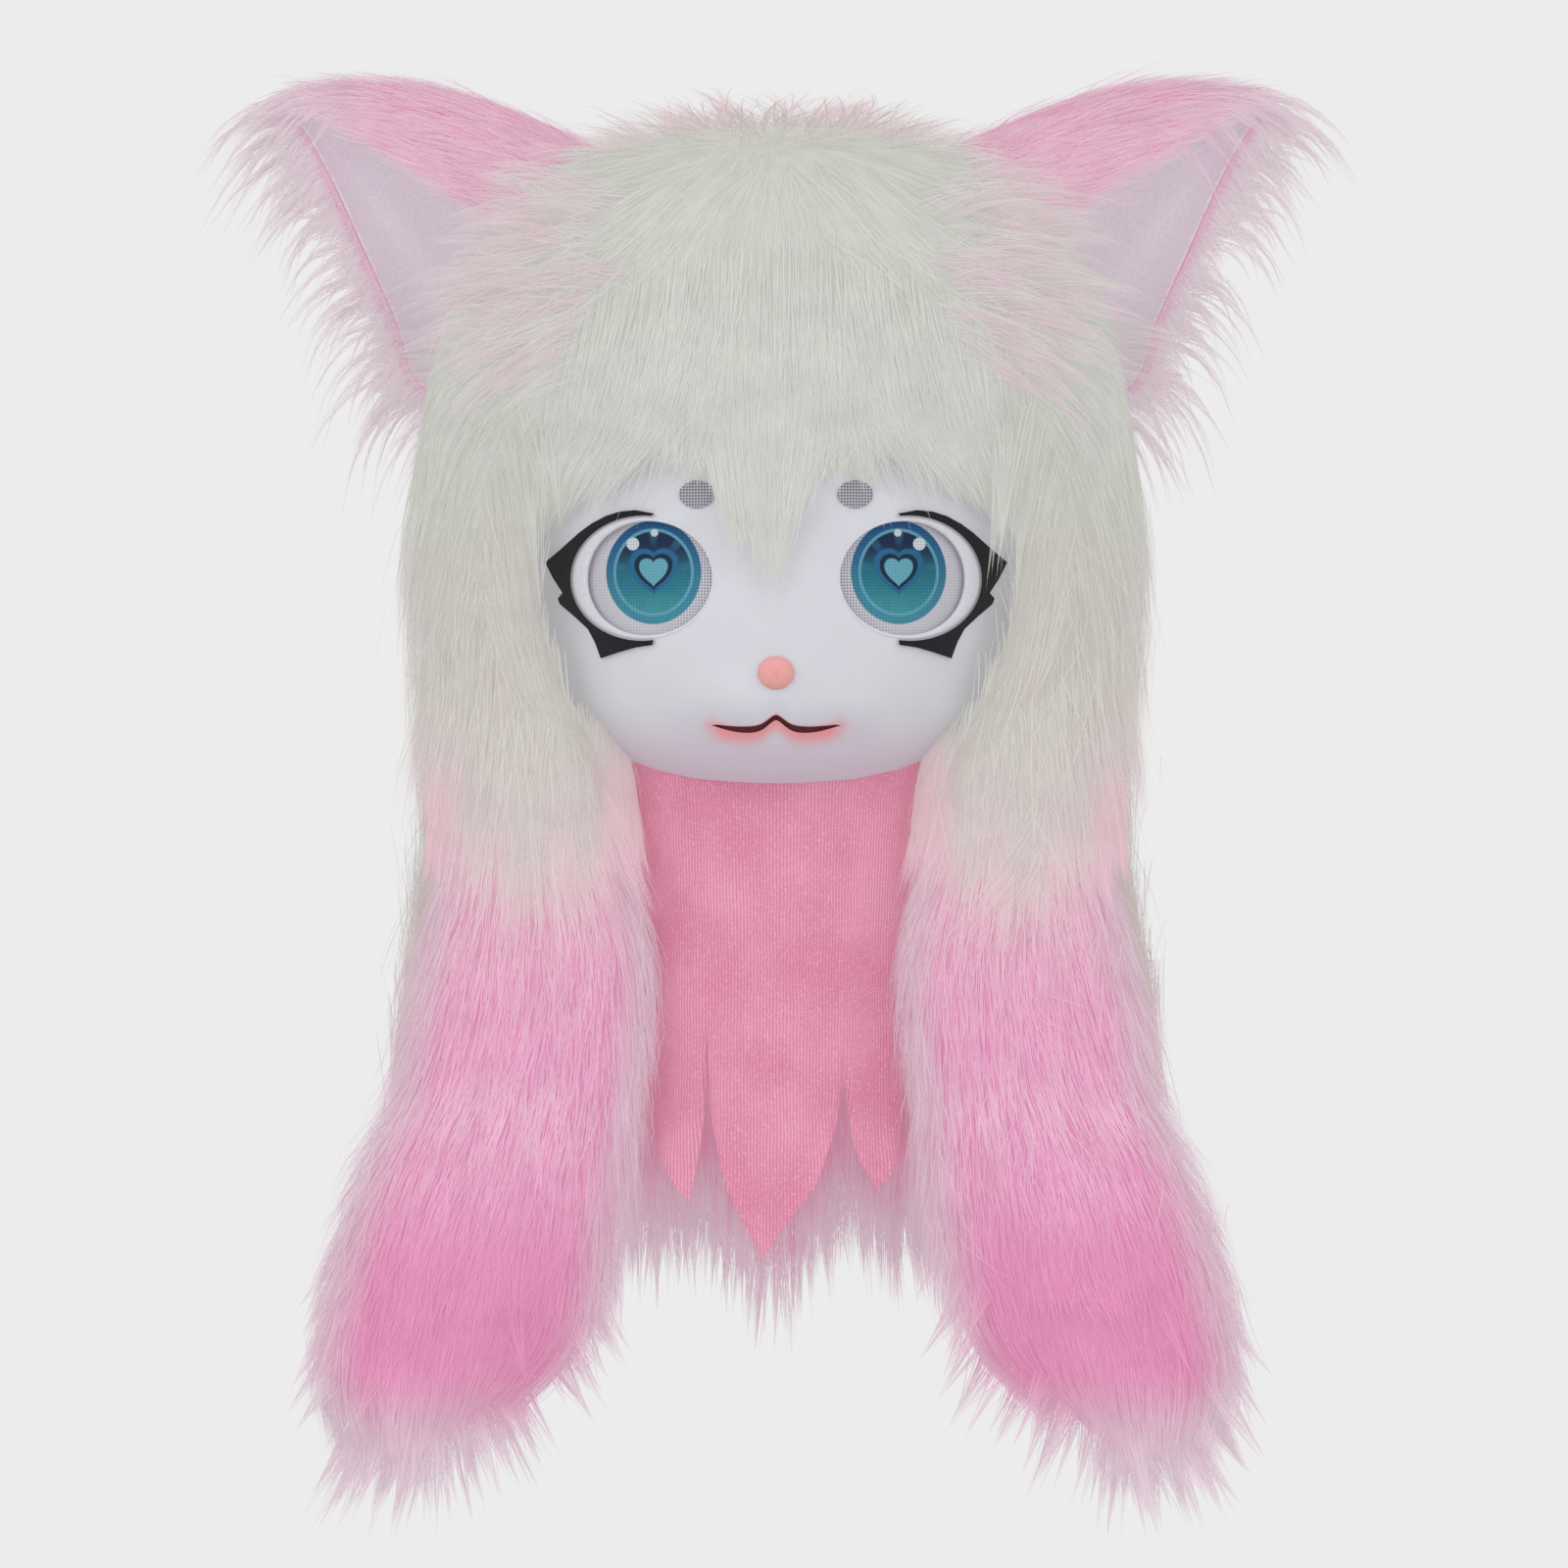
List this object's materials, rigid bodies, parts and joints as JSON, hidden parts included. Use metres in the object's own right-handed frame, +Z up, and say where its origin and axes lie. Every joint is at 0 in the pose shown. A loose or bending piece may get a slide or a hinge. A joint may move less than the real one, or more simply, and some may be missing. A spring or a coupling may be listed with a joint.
{
  "type": "fursuit head",
  "caption": "Hollow cat-like costume head with a smooth face mask, see-through eye screens, long fur, lined ears, hanging fur tails and a knit neck.",
  "frame": {"origin": "inside of the crown, where the shell sits on the wearer's head", "axes": "+X to the viewer's right, the face looks along -Y, +Z up"},
  "size_m": [0.571, 0.3408, 0.7152],
  "materials": {
    "mask_cloth": "smooth brushed cloth over padding",
    "shell_lining": "padded lining cloth",
    "eye_print": "printed see-through mesh",
    "lash_felt": "matt black felt",
    "brow_cloth": "grey mesh cloth",
    "nose_plush": "soft plush",
    "mouth_cloth": "dark mesh cloth",
    "white_fur": "long off-white fake fur",
    "pink_fur": "long pink fake fur",
    "ear_cloth": "smooth brushed cloth",
    "bib_knit": "pink rib knit"
  },
  "bodies": {
    "root": {"face_mask": "mask_cloth", "hood_shell": "shell_lining", "eye_rim_right": "mask_cloth", "eye_rim_left": "mask_cloth", "eye_screen_right": "eye_print", "eye_screen_left": "eye_print", "lash_right": "lash_felt", "lash_left": "lash_felt", "brow_right": "brow_cloth", "brow_left": "brow_cloth", "nose": "nose_plush", "mouth_screen": "mouth_cloth", "head_fur": "white_fur", "fringe": "white_fur", "ear_right": "pink_fur", "ear_left": "pink_fur", "ear_lining_right": "ear_cloth", "ear_lining_left": "ear_cloth", "side_hair_right": "white_fur", "side_hair_left": "white_fur", "side_tail_right": "pink_fur", "side_tail_left": "pink_fur", "bib": "bib_knit", "neck_fur": "pink_fur", "back_hair": "white_fur"}
  },
  "joints": []
}
